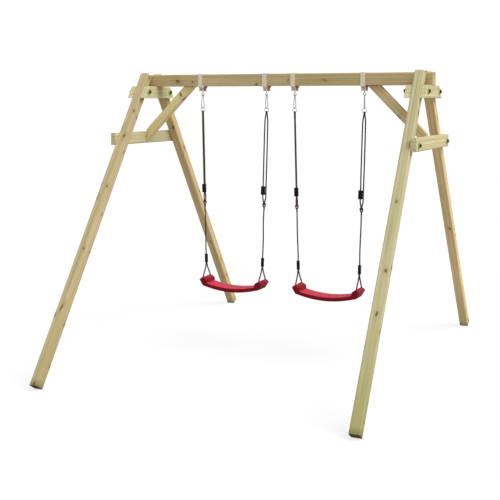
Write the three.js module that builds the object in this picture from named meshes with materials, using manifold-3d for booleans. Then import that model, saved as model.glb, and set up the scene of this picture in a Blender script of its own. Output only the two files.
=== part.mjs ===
// A timber double swing set: two A-shaped leg frames carry a square beam, and two plastic
// seats hang from the beam on adjustable ropes with steel hangers, snap hooks and rings.
//
// Millimetres. +Z is up, +Y points to the back, +X to the right-hand frame as seen from the
// front. The origin lies on the ground, below the middle of the beam.

import * as THREE from "three";
import { mergeVertices } from "three/addons/utils/BufferGeometryUtils.js";
import Module from "manifold-3d";

// ---- Driving dimensions ---------------------------------------------------------------

// Timber frame
const GAP = 0.3; // air left between pieces that rest on each other
const LEG_SIZE = 70;
const LEG_LENGTH = 2635;
const LEG_LEAN = THREE.MathUtils.degToRad(34.4); // from the vertical, front and back
const LEG_X = 1144; // from the middle of the set to the middle of a leg frame
const FOOT_Y = 1570; // from the beam's line to the middle of a leg's lower end
const BEAM_SIZE = 95;
const BEAM_LENGTH = 2450;
const BEAM_TOP = 2200;
const TIMBER_ROUND = 6; // radius on the long edges of the legs, beam and braces
const BOARD_THICKNESS = 45;
const BOARD_HEIGHT = 95;
const BOARD_CHAMFER = 4;
const UPPER_BOARD_TOP_LENGTH = 360; // its ends are cut parallel to the legs
const LOWER_BOARD_LENGTH = 990;
const LOWER_BOARD_MIDDLE = 1686; // height of its centre line
const BRACE_DEPTH = 45; // front to back
const BRACE_WIDTH = 70; // across the slope
const BRACE_REACH = 776; // from the middle of the set to its centre line under the beam

// Bolts through the boards and legs
const BOLT_RADIUS = 5;
const BOLT_HOLE_RADIUS = 5.6;
const BOLT_HEAD_RADIUS = 9.5;
const BOLT_HEAD_HEIGHT = 8;
const UPPER_BOLT_HEIGHT = 2060;
const LOWER_BOLT_HEIGHT = 1682;
const LOWER_SCREW_DEPTH = 12; // how far past the leg's middle the lower screws reach

// Hangers
const SWING_X = 400; // half the distance between the middles of the two seats
const SWING_OFFSET = 18; // how far both swings hang to the right of the set's middle
const HANGER_SPREAD = 281; // from the middle of a swing to its hangers
const STRAP_WIDTH = 36;
const STRAP_THICKNESS = 3;
const STRAP_TAB_Y = 28.5; // from the beam's middle plane to the middle of a tab
const STRAP_TAB_END = 2065;
const PIN_HEIGHT = 2079;
const PIN_RADIUS = 5;
const PIN_BUSH_RADIUS = 8;
const EYE_HEIGHT = 2040;
const EYE_RADIUS = 11; // to the middle of its wire
const EYE_WIRE = 2.5; // wire radius
const HOOK_WIRE = 3.5;
const HOOK_TOP_BEND = 7;
const HOOK_LOW_BEND = 14.5;
const HOOK_TWIST_DEGREES = [-22, -15, -12, 6]; // how each hook hangs turned in its eye
const GATE_WIRE = 2.8;
const RING_HEIGHT = 1916;
const RING_RADIUS = 18;
const RING_WIRE = 2.25;

// Ropes
const ROPE = 5; // rope radius
const ADJUSTER_TOP = 1315;
const ADJUSTER_END = 1248;
const ADJUSTER_RADIUS = 16.5;
const STRAND_SPREAD = 12; // from the middle of the upper loop to each strand at the adjuster
// How each upper loop hangs turned about the vertical, from left to right.
const LOOP_TURN_DEGREES = [8, -50, 11, -50];
const LINK_HEIGHT = 1181.5; // where the lower rope's eye hangs in the upper rope's loop
const LINK_BEND = 10.5;
const SLEEVE_TOP = 746;
const SLEEVE_END = 677.5;
const SLEEVE_RADIUS = 13;
const SEAT_LOOP_HEIGHT = 666; // middle of the bend at the top of the loop through the seat
const SEAT_LOOP_BEND = 6;

// Seats
const SEAT_HOLE_SPREAD = 244.5; // from the middle of a seat to its rope holes, along X
const SEAT_HOLE_Y = 62;
const SEAT_HOLE_RADIUS = 8.5;
const SEAT_CHANNEL_ROPE = 506; // middle of the rope in the channel that joins two holes
const SEAT_CHANNEL_TOP = 514;
const SEAT_DEPTH = 156;
const SEAT_HEIGHT = 496; // top of the sitting surface at its lowest
const SEAT_CURVE = 800; // radius of the sitting surface
const SEAT_THICKNESS = 32;
const SEAT_END_ROUND = 5;

// ---- Sizes that follow from them ------------------------------------------------------

const BEAM_BOTTOM = BEAM_TOP - BEAM_SIZE;
const FOOT_HEIGHT = (LEG_SIZE / 2) * Math.sin(LEG_LEAN); // so the lower edge meets the ground
const LEG_OUTER_X = LEG_X + LEG_SIZE / 2;
const LEG_INNER_X = LEG_X - LEG_SIZE / 2;
const RING_HANG_HEIGHT = RING_HEIGHT - RING_RADIUS; // the rope's bend round the ring's wire
const HOOK_PIVOT_HEIGHT = EYE_HEIGHT - EYE_RADIUS;
const HOOK_LOW_HEIGHT = RING_HEIGHT + RING_RADIUS - RING_WIRE - HOOK_WIRE - 0.5;
const HOOK_CENTRES = HOOK_PIVOT_HEIGHT - HOOK_LOW_HEIGHT - HOOK_LOW_BEND;
const SEAT_BLOCK_TOP = 567;

// The middle of a leg, front to back, at a height.
const legY = (height) => FOOT_Y - (height - FOOT_HEIGHT) * Math.tan(LEG_LEAN);

// A rope's distance from the middle of its swing at a height: the ropes draw together
// from the hangers to the seat, and are upright inside the seat.
const ROPE_SLOPE = (HANGER_SPREAD - SEAT_HOLE_SPREAD) / (RING_HANG_HEIGHT - SEAT_BLOCK_TOP);
const ropeSpread = (height) => SEAT_HOLE_SPREAD + ROPE_SLOPE * Math.max(0, height - SEAT_BLOCK_TOP);

// ---- Materials --------------------------------------------------------------------------

const finish = (color, roughness, metalness = 0) =>
  new THREE.MeshStandardMaterial({ color, roughness, metalness });

const MATERIALS = {
  leg: finish(0xbfb583, 0.75),
  beam: finish(0xa89263, 0.75),
  board: finish(0xc6b58c, 0.75),
  brace: finish(0xb9a878, 0.75),
  bolt: finish(0x3c4a30, 0.5, 0.6),
  galvanised: finish(0xb9b6ae, 0.45, 0.9),
  steel: finish(0xaeaca6, 0.35, 1),
  rope: finish(0x6b5646, 0.9),
  plastic: finish(0x14100e, 0.5),
  seat: finish(0xa3182f, 0.45),
};

// ---- Joining and cutting ----------------------------------------------------------------

const wasm = await Module();
wasm.setup();

// A closed geometry as a solid that can be joined to others or cut.
function solid(geometry) {
  const bare = geometry.index ? geometry.toNonIndexed() : geometry.clone();
  bare.deleteAttribute("normal");
  bare.deleteAttribute("uv");
  const merged = mergeVertices(bare, 1e-3);
  return new wasm.Manifold(
    new wasm.Mesh({
      numProp: 3,
      vertProperties: merged.attributes.position.array,
      triVerts: new Uint32Array(merged.index.array),
    }),
  );
}

function geometryOf(made) {
  const mesh = made.getMesh();
  const indexed = new THREE.BufferGeometry();
  indexed.setAttribute("position", new THREE.BufferAttribute(mesh.vertProperties, 3));
  indexed.setIndex(new THREE.BufferAttribute(mesh.triVerts, 1));
  const flat = indexed.toNonIndexed();
  flat.computeVertexNormals();
  return flat;
}

const join = (...pieces) =>
  geometryOf(pieces.map(solid).reduce((whole, piece) => whole.add(piece)));

const cut = (body, ...tools) =>
  geometryOf(tools.map(solid).reduce((left, tool) => left.subtract(tool), solid(body)));

// ---- Shapes -----------------------------------------------------------------------------

// A rod along X, Y or Z, from one end to the other, seen from the end as a polygon.
function rod(axis, radius, from, to, sides = 12) {
  const geometry = new THREE.CylinderGeometry(radius, radius, to - from, sides);
  if (axis === "x") geometry.rotateZ(-Math.PI / 2);
  if (axis === "z") geometry.rotateX(Math.PI / 2);
  const middle = (from + to) / 2;
  const along = { x: [middle, 0, 0], y: [0, middle, 0], z: [0, 0, middle] };
  return geometry.translate(...along[axis]);
}

// A squared timber with rounded long edges, standing on its lower end at the origin.
function squaredTimber(width, depth, length) {
  const w = width / 2;
  const d = depth / 2;
  const r = TIMBER_ROUND;
  const section = new THREE.Shape()
    .absarc(w - r, d - r, r, 0, Math.PI / 2)
    .absarc(r - w, d - r, r, Math.PI / 2, Math.PI)
    .absarc(r - w, r - d, r, Math.PI, 1.5 * Math.PI)
    .absarc(w - r, r - d, r, 1.5 * Math.PI, 2 * Math.PI);
  return new THREE.ExtrudeGeometry(section, { depth: length, bevelEnabled: false, curveSegments: 3 });
}

// A flat board from its outline in the YZ plane, with chamfered edges, centred on X.
function flatBoard(outline) {
  const shape = new THREE.Shape(outline.map(([y, z]) => new THREE.Vector2(y, z)));
  const geometry = new THREE.ExtrudeGeometry(shape, {
    depth: BOARD_THICKNESS - 2 * BOARD_CHAMFER,
    bevelThickness: BOARD_CHAMFER,
    bevelSize: BOARD_CHAMFER,
    bevelOffset: -BOARD_CHAMFER,
    bevelSegments: 1,
  });
  geometry.translate(0, 0, BOARD_CHAMFER - BOARD_THICKNESS / 2);
  return geometry.applyMatrix4(
    new THREE.Matrix4().makeBasis(
      new THREE.Vector3(0, 1, 0),
      new THREE.Vector3(0, 0, 1),
      new THREE.Vector3(1, 0, 0),
    ),
  );
}

// A smooth line through points, stepped from point to point, so that close points on the
// bends keep their roundness and the straight runs stay light.
class Route extends THREE.CatmullRomCurve3 {
  getUtoTmapping(u) {
    return u;
  }
}

const route = (points, closed) =>
  new Route(points.map((p) => new THREE.Vector3(...p)), closed, "centripetal");

// A closed loop of wire or rope through points.
const loopOf = (points, radius, sides = 8) =>
  new THREE.TubeGeometry(route(points, true), points.length, radius, sides, true);

// A length of wire or rope with two ends, through points.
function lengthOf(points, radius, sides = 8) {
  const section = new THREE.Shape().absarc(0, 0, radius, 0, 2 * Math.PI);
  return new THREE.ExtrudeGeometry(section, {
    steps: points.length - 1,
    curveSegments: sides / 2,
    extrudePath: route(points, false),
  });
}

// Points on an arc as [across, height] pairs, counted in degrees from the +across side.
function arc(across, height, radius, from, to, count) {
  return Array.from({ length: count }, (_, i) => {
    const angle = THREE.MathUtils.degToRad(from + ((to - from) * i) / (count - 1));
    return [across + radius * Math.cos(angle), height + radius * Math.sin(angle)];
  });
}

// ---- The object -------------------------------------------------------------------------

const swingSet = new THREE.Group();

function add(group, name, geometry, material) {
  const mesh = new THREE.Mesh(geometry, material.clone());
  mesh.name = name;
  group.add(mesh);
  return mesh;
}

// A leg with its two bolt holes: a through hole above, and one from the outside below that
// ends inside the leg. front is -1 for a front leg and 1 for a back one.
function addLeg(group, name, front, side) {
  const along = (height) => (height - FOOT_HEIGHT) / Math.cos(LEG_LEAN);
  const upper = rod("x", BOLT_HOLE_RADIUS, -LEG_SIZE, LEG_SIZE);
  const lower = rod("x", BOLT_HOLE_RADIUS, -LOWER_SCREW_DEPTH - 1, LEG_SIZE);
  if (side < 0) lower.rotateZ(Math.PI);
  const leg = cut(
    squaredTimber(LEG_SIZE, LEG_SIZE, LEG_LENGTH),
    upper.translate(0, 0, along(UPPER_BOLT_HEIGHT)),
    lower.translate(0, 0, along(LOWER_BOLT_HEIGHT)),
  );
  const mesh = add(group, name, leg, MATERIALS.leg);
  mesh.position.set(0, front * FOOT_Y, FOOT_HEIGHT);
  mesh.rotation.x = front * LEG_LEAN;
}

// A crossboard with a bolt hole at each leg.
function addBoard(group, name, outline, boltHeight, x) {
  const holes = [-1, 1].map((front) =>
    rod("x", BOLT_HOLE_RADIUS, -BOARD_THICKNESS, BOARD_THICKNESS).translate(
      0,
      front * legY(boltHeight),
      boltHeight,
    ),
  );
  add(group, name, cut(flatBoard(outline), ...holes), MATERIALS.board).position.x = x;
}

// A bolt through both upper crossboards and the leg, with its hexagonal head and nut.
function addBolt(group, name, outside, front) {
  const low = outside + GAP;
  const head = rod("x", BOLT_HEAD_RADIUS, low, low + BOLT_HEAD_HEIGHT, 6);
  const nut = rod("x", BOLT_HEAD_RADIUS, -low - BOLT_HEAD_HEIGHT, -low, 6);
  const shank = rod("x", BOLT_RADIUS, -outside - 2, outside + 2);
  const mesh = add(group, name, join(shank, head, nut), MATERIALS.bolt);
  mesh.position.set(0, front * legY(UPPER_BOLT_HEIGHT), UPPER_BOLT_HEIGHT);
}

// A screw through the lower crossboard into the leg, with its hexagonal head outside.
function addScrew(group, name, side, front, outside) {
  const head = rod("x", BOLT_HEAD_RADIUS, outside + GAP, outside + GAP + BOLT_HEAD_HEIGHT, 6);
  const screw = join(rod("x", BOLT_RADIUS, -LOWER_SCREW_DEPTH, outside + 2), head);
  const mesh = add(group, name, screw, MATERIALS.bolt);
  mesh.position.set(0, front * legY(LOWER_BOLT_HEIGHT), LOWER_BOLT_HEIGHT);
  if (side < 0) mesh.rotation.z = Math.PI;
}

// The diagonal brace from the beam's underside out to the lower crossboard, cut level
// where it meets the beam and upright where it meets the board.
function addBrace(group, name, side) {
  const reach = BRACE_REACH - LEG_X; // negative: from the leg frame in to the beam's middle
  const boardX = LEG_SIZE / 2;
  const half = BRACE_WIDTH / Math.SQRT2;
  const beam = BEAM_BOTTOM - GAP;
  const outline = [
    [reach - half, beam],
    [boardX, beam - (boardX - reach) - half],
    [boardX, beam - (boardX - reach) + half],
    [reach + half, beam],
  ];
  const shape = new THREE.Shape(outline.map(([x, z]) => new THREE.Vector2(x, z)));
  const geometry = new THREE.ExtrudeGeometry(shape, {
    depth: BRACE_DEPTH - 2 * BOARD_CHAMFER,
    bevelThickness: BOARD_CHAMFER,
    bevelSize: BOARD_CHAMFER,
    bevelOffset: -BOARD_CHAMFER,
    bevelSegments: 1,
  });
  geometry.rotateX(Math.PI / 2).translate(0, BRACE_DEPTH / 2 - BOARD_CHAMFER, 0);
  const mesh = add(group, name, geometry, MATERIALS.brace);
  if (side < 0) mesh.rotation.z = Math.PI;
}

// One A-shaped frame: two legs, an upper crossboard on each side of them under the beam,
// a lower crossboard on the outside, and the brace to the beam.
function addLegFrame(name, side) {
  const frame = new THREE.Group();
  frame.position.x = side * LEG_X;
  const boardX = (LEG_SIZE + BOARD_THICKNESS) / 2 + GAP;
  const top = BEAM_BOTTOM - GAP;
  const topY = UPPER_BOARD_TOP_LENGTH / 2;
  const lowY = topY + BOARD_HEIGHT * Math.tan(LEG_LEAN);
  const upper = [
    [-topY, top],
    [-lowY, top - BOARD_HEIGHT],
    [lowY, top - BOARD_HEIGHT],
    [topY, top],
  ];
  addBoard(frame, `${name}_outer_crossboard`, upper, UPPER_BOLT_HEIGHT, side * boardX);
  addBoard(frame, `${name}_inner_crossboard`, upper, UPPER_BOLT_HEIGHT, -side * boardX);
  const y = LOWER_BOARD_LENGTH / 2;
  const z = [LOWER_BOARD_MIDDLE - BOARD_HEIGHT / 2, LOWER_BOARD_MIDDLE + BOARD_HEIGHT / 2];
  const lower = [[-y, z[1]], [-y, z[0]], [y, z[0]], [y, z[1]]];
  addBoard(frame, `${name}_lower_crossboard`, lower, LOWER_BOLT_HEIGHT, side * boardX);
  addBrace(frame, `${name}_brace`, side);
  const outside = boardX + BOARD_THICKNESS / 2;
  for (const [place, front] of [["front", -1], ["back", 1]]) {
    addLeg(frame, `${place}_${name}_leg`, front, side);
    addBolt(frame, `${place}_${name}_upper_bolt`, outside, front);
    addScrew(frame, `${place}_${name}_lower_screw`, side, front, outside);
  }
  swingSet.add(frame);
}

// The strip over the beam: up from one tab, round the beam and down to the other tab.
function strapGeometry() {
  const t = STRAP_THICKNESS;
  const wall = BEAM_SIZE / 2 + 0.5;
  const half = STRAP_TAB_Y - t / 2;
  const lip = t * 0.6; // how far the slanting stretch is thicker across its bends
  const inner = [
    [half, STRAP_TAB_END],
    [half, BEAM_BOTTOM - 14 - lip],
    [wall, BEAM_BOTTOM - 3],
    [wall, BEAM_TOP + GAP],
  ];
  const outer = [
    [wall + t, BEAM_TOP + GAP + t],
    [wall + t, BEAM_BOTTOM - 3 - lip],
    [half + t, BEAM_BOTTOM - 14 - 2 * lip],
    [half + t, STRAP_TAB_END],
  ];
  const mirrored = (points) => points.map(([y, z]) => [-y, z]).reverse();
  const outline = [...inner, ...mirrored(inner), ...mirrored(outer), ...outer];
  const shape = new THREE.Shape(outline.map(([y, z]) => new THREE.Vector2(y, z)));
  const strip = new THREE.ExtrudeGeometry(shape, { depth: STRAP_WIDTH, bevelEnabled: false });
  strip.translate(0, 0, -STRAP_WIDTH / 2).applyMatrix4(
    new THREE.Matrix4().makeBasis(
      new THREE.Vector3(0, 1, 0),
      new THREE.Vector3(0, 0, 1),
      new THREE.Vector3(1, 0, 0),
    ),
  );
  const hole = rod("y", PIN_RADIUS + 0.6, -BEAM_SIZE, BEAM_SIZE).translate(0, 0, PIN_HEIGHT);
  return cut(strip, hole);
}

// The pin across the tabs, with its bush, head and nut, and the eye that hangs from it.
function swivelEyeGeometry() {
  const tab = STRAP_TAB_Y + STRAP_THICKNESS / 2;
  const bushEnd = STRAP_TAB_Y - STRAP_THICKNESS / 2 - 1;
  const atPin = (geometry) => geometry.translate(0, 0, PIN_HEIGHT);
  const eye = new THREE.TorusGeometry(EYE_RADIUS, EYE_WIRE, 8, 20).rotateX(Math.PI / 2);
  return join(
    atPin(rod("y", PIN_RADIUS, -tab - 4, tab + 4)),
    atPin(rod("y", PIN_BUSH_RADIUS, -bushEnd, bushEnd)),
    atPin(rod("y", BOLT_HEAD_RADIUS - 1, -tab - GAP - 6, -tab - GAP, 6)),
    atPin(rod("y", BOLT_HEAD_RADIUS - 1, tab + GAP, tab + GAP + 6, 6)),
    rod("z", EYE_WIRE + 0.5, EYE_HEIGHT + EYE_RADIUS - 1, PIN_HEIGHT, 8),
    eye.translate(0, 0, EYE_HEIGHT),
  );
}

// A pear-shaped snap hook in the YZ plane, measured from its pivot in the eye: a narrow bend
// above, a wide one below, a closed spine on one side and the gate's gap on the other.
const HOOK_SLOPE = Math.asin((HOOK_LOW_BEND - HOOK_TOP_BEND) / HOOK_CENTRES);
const HOOK_SLOPE_DEGREES = THREE.MathUtils.radToDeg(HOOK_SLOPE);

// A point on the gate side: 0 where the top bend ends and 1 where the low bend begins.
function gateSide(share) {
  const bend = THREE.MathUtils.lerp(HOOK_TOP_BEND, HOOK_LOW_BEND, share);
  return [
    bend * Math.cos(HOOK_SLOPE),
    bend * Math.sin(HOOK_SLOPE) - HOOK_CENTRES * share,
  ];
}

function hookGeometry() {
  const slope = HOOK_SLOPE_DEGREES;
  const line = [
    gateSide(0.2),
    gateSide(0.1),
    ...arc(0, 0, HOOK_TOP_BEND, slope, 180 - slope, 9),
    ...arc(0, -HOOK_CENTRES, HOOK_LOW_BEND, 180 - slope, 360 + slope, 11),
    gateSide(0.78),
  ];
  return lengthOf(line.map(([y, z]) => [0, y, z]), HOOK_WIRE);
}

function gateGeometry() {
  const ends = [gateSide(0.22), gateSide(0.76)];
  return lengthOf(ends.map(([y, z]) => [0, y, z]), GATE_WIRE);
}

// How far the upper loop is turned about the vertical at a height: it bends round the ring
// and round the lower rope's eye in the YZ plane, and hangs turned between them.
function loopTurn(height, degrees) {
  const down = Math.min(1, Math.max(0, (RING_HANG_HEIGHT - 6 - height) / 50));
  const up = Math.min(1, Math.max(0, (height - LINK_HEIGHT - 15) / 50));
  return THREE.MathUtils.degToRad(degrees) * Math.min(down, up);
}

// The upper rope: a long closed loop that bends round the ring's wire, runs down with one
// strand through the adjuster and the other beside it, and ends in a leaf-shaped loop.
function upperRopeGeometry(side, degrees) {
  const bend = RING_WIRE + ROPE + 0.5;
  const strand = [
    [bend + 0.3, RING_HANG_HEIGHT - 12],
    [9.2, RING_HANG_HEIGHT - 32],
    [10.7, RING_HANG_HEIGHT - 58],
    [11.8, RING_HANG_HEIGHT - 110],
    [12.3, RING_HANG_HEIGHT - 220],
    [12.5, RING_HANG_HEIGHT - 330],
    [12.3, RING_HANG_HEIGHT - 450],
    [STRAND_SPREAD, ADJUSTER_TOP + 40],
    [STRAND_SPREAD, ADJUSTER_TOP + 2],
    [STRAND_SPREAD, (ADJUSTER_TOP + ADJUSTER_END) / 2],
    [STRAND_SPREAD, ADJUSTER_END - 2],
    [STRAND_SPREAD + 2, ADJUSTER_END - 18],
    [STRAND_SPREAD + 3.5, ADJUSTER_END - 34],
    [STRAND_SPREAD + 2, LINK_HEIGHT + 14],
  ];
  const line = [
    ...arc(0, RING_HANG_HEIGHT, bend, 180, 0, 7),
    ...strand,
    ...arc(0, LINK_HEIGHT, LINK_BEND, 0, -180, 9),
    ...strand.map(([across, z]) => [-across, z]).reverse(),
  ];
  const points = line.map(([across, z]) => {
    const turn = loopTurn(z, degrees);
    return [side * ropeSpread(z) - across * Math.sin(turn), across * Math.cos(turn), z];
  });
  return loopOf(points, ROPE);
}

// A ribbed sleeve round Z with a radius of 1, from its lower to its upper end.
function ribbed(low, high, ribs, sides = 12) {
  const rib = (high - low) / ribs;
  const profile = [new THREE.Vector2(0, low)];
  for (let i = 0; i < ribs; i++) {
    const foot = low + i * rib;
    profile.push(new THREE.Vector2(0.86, foot + (i ? 0.5 : 0)));
    profile.push(new THREE.Vector2(1, foot + rib * 0.3));
    profile.push(new THREE.Vector2(1, foot + rib * 0.7));
  }
  profile.push(new THREE.Vector2(0.86, high), new THREE.Vector2(0, high));
  return new THREE.LatheGeometry(profile, sides).rotateX(Math.PI / 2);
}

// The sleeve that sets the rope's length: a ribbed body with a hole for one strand.
function adjusterGeometry() {
  const middle = (ADJUSTER_TOP + ADJUSTER_END) / 2;
  const half = (ADJUSTER_TOP - ADJUSTER_END) / 2;
  const block = ribbed(-half, half, 3).scale(ADJUSTER_RADIUS, ADJUSTER_RADIUS, 1);
  const hole = rod("z", ROPE + 0.8, -half - 1, half + 1);
  return { geometry: cut(block, hole), middle };
}

// The lower rope: an eye across the upper rope's loop, one strand, and the ribbed sleeve
// that grips the strand's end. side is -1 left of the swing's middle and 1 right of it.
function lowerRopeGeometry(side) {
  const eyeLow = 1155;
  const eye = [
    ...arc(0, LINK_HEIGHT - LINK_BEND, LINK_BEND, 180, 0, 9),
    ...arc(0, eyeLow, 6, 0, -180, 7),
  ];
  const x = side * ropeSpread(LINK_HEIGHT);
  const heights = Array.from({ length: 16 }, (_, i) => eyeLow - 6 - 27.5 * i);
  return join(
    loopOf(eye.map(([across, z]) => [x + across, 0, z]), ROPE),
    lengthOf(heights.map((z) => [side * ropeSpread(z), 0, z]), ROPE),
    ribbed(SLEEVE_END, SLEEVE_TOP, 5).scale(SLEEVE_RADIUS, SLEEVE_RADIUS, 1)
      .translate(side * ropeSpread((SLEEVE_TOP + SLEEVE_END) / 2), 0, 0),
  );
}

// The rope's loop through one end of the seat: down from the sleeve to the two holes,
// through them and along the channel under the seat's end.
function seatLoopGeometry(side) {
  const y = SEAT_HOLE_Y;
  const half = [
    [19, 638],
    [33, 616],
    [46, 596],
    [y - 5, 582],
    [y - 0.5, 568],
    [y, 548],
    [y, 532],
    ...arc(y - 10, SEAT_CHANNEL_ROPE + 10, 10, 0, -90, 5),
    [y - 35, SEAT_CHANNEL_ROPE],
  ];
  const line = [
    ...arc(0, SEAT_LOOP_HEIGHT, SEAT_LOOP_BEND, 150, 30, 5),
    ...half,
    ...half.map(([across, z]) => [-across, z]).reverse(),
  ];
  return loopOf(line.map(([across, z]) => [side * ropeSpread(z), across, z]), ROPE);
}

// A seat: a curved board with a raised block at each end, and in each block two rope holes
// that are joined by a channel across the underside.
function seatGeometry() {
  const curve = (x) => (x * x) / (2 * SEAT_CURVE);
  const span = (from, to, count, base) =>
    Array.from({ length: count }, (_, i) => {
      const x = from + ((to - from) * i) / (count - 1);
      return [x, base + curve(x)];
    });
  const block = [[212, 493], [243, 499], [258, 524], [272, 547], [266, 558], [250, 568], [228, 562], [208, 555]];
  const outline = [
    ...span(-190, 190, 9, SEAT_HEIGHT - SEAT_THICKNESS),
    ...block,
    ...span(208, -208, 11, SEAT_HEIGHT),
    ...block.map(([x, z]) => [-x, z]).reverse(),
  ];
  const shape = new THREE.Shape(outline.map(([x, z]) => new THREE.Vector2(x, z)));
  const body = new THREE.ExtrudeGeometry(shape, {
    depth: SEAT_DEPTH - 2 * SEAT_END_ROUND,
    bevelThickness: SEAT_END_ROUND,
    bevelSize: SEAT_END_ROUND,
    bevelOffset: -SEAT_END_ROUND,
    bevelSegments: 2,
  });
  body.rotateX(Math.PI / 2).translate(0, SEAT_DEPTH / 2 - SEAT_END_ROUND, 0);
  const holes = [];
  for (const x of [-SEAT_HOLE_SPREAD, SEAT_HOLE_SPREAD]) {
    for (const y of [-SEAT_HOLE_Y, SEAT_HOLE_Y]) {
      holes.push(rod("z", SEAT_HOLE_RADIUS, 450, 600).translate(x, y, 0));
    }
  }
  for (const x of [-SEAT_HOLE_SPREAD, SEAT_HOLE_SPREAD]) {
    const channel = new THREE.BoxGeometry(2 * SEAT_HOLE_RADIUS, 2 * SEAT_HOLE_Y, 60);
    holes.push(channel.translate(x, 0, SEAT_CHANNEL_TOP - 30));
  }
  return cut(body, ...holes);
}

// One rope with its hanger, from the strap over the beam down to the seat.
function addHanging(swing, name, side, twist, loopDegrees) {
  const x = side * HANGER_SPREAD;
  const place = (part, geometry, material) => add(swing, `${name}_${part}`, geometry, material);
  place("strap", strapGeometry(), MATERIALS.galvanised).position.x = x;
  place("swivel_eye", swivelEyeGeometry(), MATERIALS.steel).position.x = x;
  for (const [part, geometry] of [["snap_hook", hookGeometry()], ["snap_gate", gateGeometry()]]) {
    const mesh = place(part, geometry, MATERIALS.steel);
    mesh.position.set(x, 0, HOOK_PIVOT_HEIGHT);
    mesh.rotation.z = THREE.MathUtils.degToRad(twist);
  }
  const ring = new THREE.TorusGeometry(RING_RADIUS, RING_WIRE, 8, 24).rotateX(Math.PI / 2);
  place("ring", ring, MATERIALS.steel).position.set(x, 0, RING_HEIGHT);
  place("upper_rope", upperRopeGeometry(side, loopDegrees), MATERIALS.rope);
  const adjuster = adjusterGeometry();
  const block = place("rope_adjuster", adjuster.geometry, MATERIALS.plastic);
  const turn = loopTurn(adjuster.middle, loopDegrees);
  const strandX = side * ropeSpread(adjuster.middle) + STRAND_SPREAD * Math.sin(turn);
  block.position.set(strandX, -STRAND_SPREAD * Math.cos(turn), adjuster.middle);
  block.rotation.y = side * Math.atan(ROPE_SLOPE);
  place("lower_rope", lowerRopeGeometry(side), MATERIALS.rope);
  place("seat_rope_loop", seatLoopGeometry(side), MATERIALS.rope);
}

const beam = squaredTimber(BEAM_SIZE, BEAM_SIZE, BEAM_LENGTH);
beam.translate(0, 0, -BEAM_LENGTH / 2).rotateY(Math.PI / 2);
add(swingSet, "beam", beam, MATERIALS.beam).position.z = BEAM_TOP - BEAM_SIZE / 2;

for (const [name, side] of [["left", -1], ["right", 1]]) {
  addLegFrame(name, side);
  const swing = new THREE.Group();
  swing.position.x = SWING_OFFSET + side * SWING_X;
  for (const [end, ropeSide] of [["left", -1], ["right", 1]]) {
    const place = 1 + side + (1 + ropeSide) / 2;
    const turns = [HOOK_TWIST_DEGREES[place], LOOP_TURN_DEGREES[place]];
    addHanging(swing, `${name}_swing_${end}`, ropeSide, ...turns);
  }
  add(swing, `${name}_seat`, seatGeometry(), MATERIALS.seat);
  swingSet.add(swing);
}

export default swingSet;
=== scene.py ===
"""Looks for the timber double swing set: materials, ropes, hardware, seats, light and camera.

Metres throughout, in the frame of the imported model: +X along the beam, +Y to the back, +Z up.
"""

import math

import bmesh
import bpy
import numpy as np
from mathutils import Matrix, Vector


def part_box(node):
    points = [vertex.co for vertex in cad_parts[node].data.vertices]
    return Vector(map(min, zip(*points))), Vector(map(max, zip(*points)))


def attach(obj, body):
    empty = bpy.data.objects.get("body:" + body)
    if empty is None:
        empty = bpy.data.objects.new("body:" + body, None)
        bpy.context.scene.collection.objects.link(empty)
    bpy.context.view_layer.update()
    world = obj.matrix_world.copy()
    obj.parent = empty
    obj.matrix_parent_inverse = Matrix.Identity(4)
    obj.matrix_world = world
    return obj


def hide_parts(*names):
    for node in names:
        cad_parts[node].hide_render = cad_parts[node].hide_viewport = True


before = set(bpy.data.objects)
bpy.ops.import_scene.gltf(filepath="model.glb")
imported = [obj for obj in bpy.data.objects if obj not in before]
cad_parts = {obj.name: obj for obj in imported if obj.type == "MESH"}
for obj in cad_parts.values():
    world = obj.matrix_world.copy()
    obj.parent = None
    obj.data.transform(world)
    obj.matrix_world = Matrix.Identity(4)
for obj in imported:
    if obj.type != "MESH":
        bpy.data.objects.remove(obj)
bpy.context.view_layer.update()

# ---- Sizes shared with the solids ---------------------------------------------------------

SIDES = (("left", -1), ("right", 1))
ENDS = (("front", -1), ("back", 1))
LEG_LEAN = math.radians(34.4)
LEG_HALF = 0.035
LEG_X = 1.144
FOOT_Y = 1.570
FOOT_Z = LEG_HALF * math.sin(LEG_LEAN)
BEAM_Z = 2.1525  # the beam's middle
BOARD_GAP, BOARD_THICKNESS = 0.0003, 0.045
UPPER_BOLT_Z, LOWER_BOLT_Z = 2.060, 1.682
SWING_X, SWING_OFFSET = 0.400, 0.018
HANGER_SPREAD = 0.281
SEAT_HOLE_X, SEAT_HOLE_Y = 0.2445, 0.062
SEAT_HOLE_RADIUS = 0.0085
SEAT_CHANNEL_ROPE, SEAT_CHANNEL_TOP = 0.506, 0.514
SEAT_BLOCK_TOP = 0.567
PIN_Z = 2.079
EYE_Z, EYE_RADIUS, EYE_WIRE = 2.040, 0.011, 0.0025
EYE_SHANK_Z = 2.0495
HOOK_PIVOT_Z = EYE_Z - EYE_RADIUS
HOOK_WIRE, HOOK_TOP_BEND, HOOK_LOW_BEND = 0.0035, 0.007, 0.0145
HOOK_WIRE_SEEN = 0.0032  # a little thinner, so that it clears its eye at the end of a swing
GATE_WIRE = 0.0028
RING_Z, RING_RADIUS, RING_WIRE = 1.916, 0.018, 0.00225
HOOK_LOW_Z = RING_Z + RING_RADIUS - RING_WIRE - HOOK_WIRE - 0.0005
HOOK_CENTRES = HOOK_PIVOT_Z - HOOK_LOW_Z - HOOK_LOW_BEND
HOOK_SLOPE = math.asin((HOOK_LOW_BEND - HOOK_TOP_BEND) / HOOK_CENTRES)
RING_HANG_Z = RING_Z - RING_RADIUS
ROPE = 0.005
ADJUSTER_TOP, ADJUSTER_END, ADJUSTER_RADIUS = 1.315, 1.248, 0.0178
STRAND_SPREAD = 0.012
LINK_Z, LINK_BEND = 1.1815, 0.0105
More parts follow.
